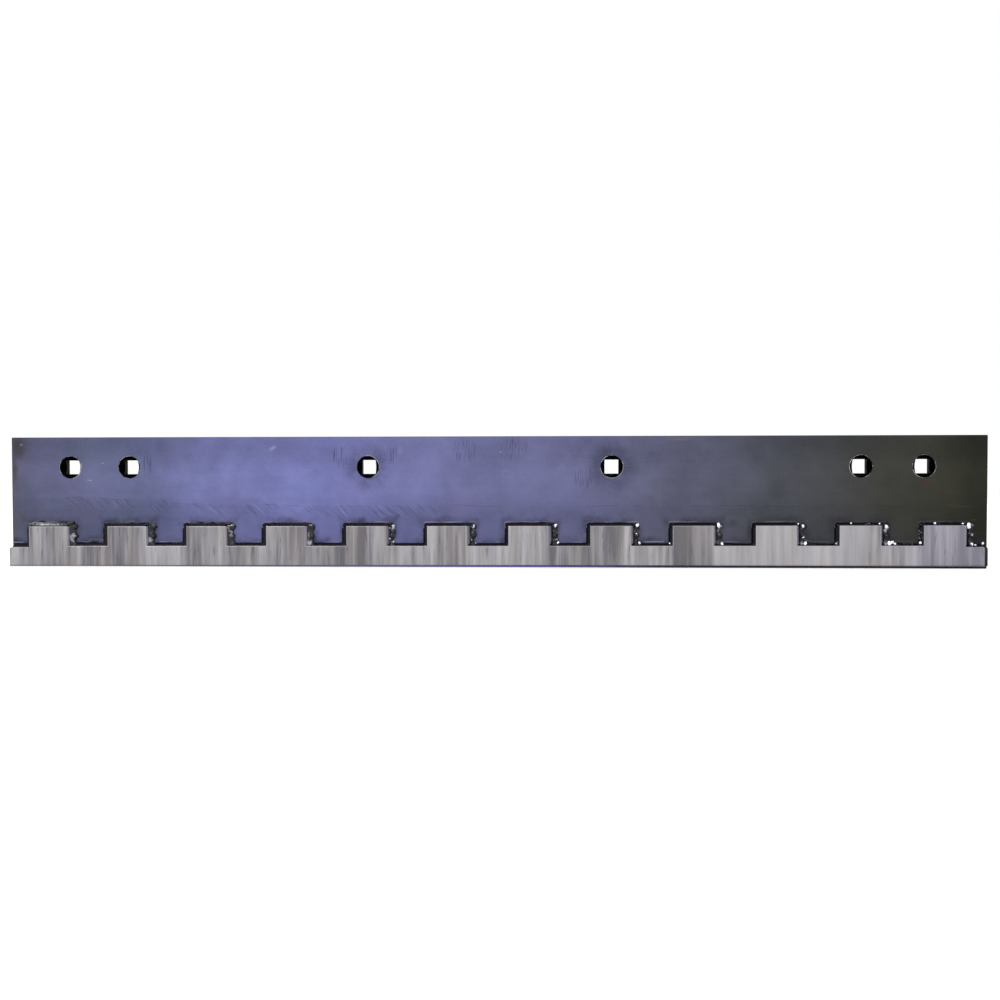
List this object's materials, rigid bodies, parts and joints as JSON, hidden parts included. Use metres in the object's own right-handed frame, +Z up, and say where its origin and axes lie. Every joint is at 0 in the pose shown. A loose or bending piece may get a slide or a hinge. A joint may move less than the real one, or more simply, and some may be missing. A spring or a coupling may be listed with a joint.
{
  "type": "loader cutting edge",
  "caption": "Flat steel cutting edge for a loader bucket, with square-neck bolt holes near its top and a toothed wear strip lap-welded along its lower front.",
  "frame": {"origin": "middle of the underside, on the surface the edge stands on", "axes": "+X along the edge to the right as seen from the toothed side, +Y from the toothed front to the back, +Z up from the cutting side to the bolted side"},
  "size_m": [1.2219, 0.0254, 0.1635],
  "materials": {
    "blued_plate": "blue-black mill scale with handling scratches",
    "ground_strip": "coarse ground across, bright",
    "seam_weld": "dark weld scale, glossy",
    "side_weld": "rough weld metal with bright lumps"
  },
  "bodies": {
    "root": {"blade_plate": "blued_plate", "toothed_wear_strip": "ground_strip", "fillet_weld_seam": "seam_weld", "tooth_side_welds": "side_weld"}
  },
  "joints": []
}
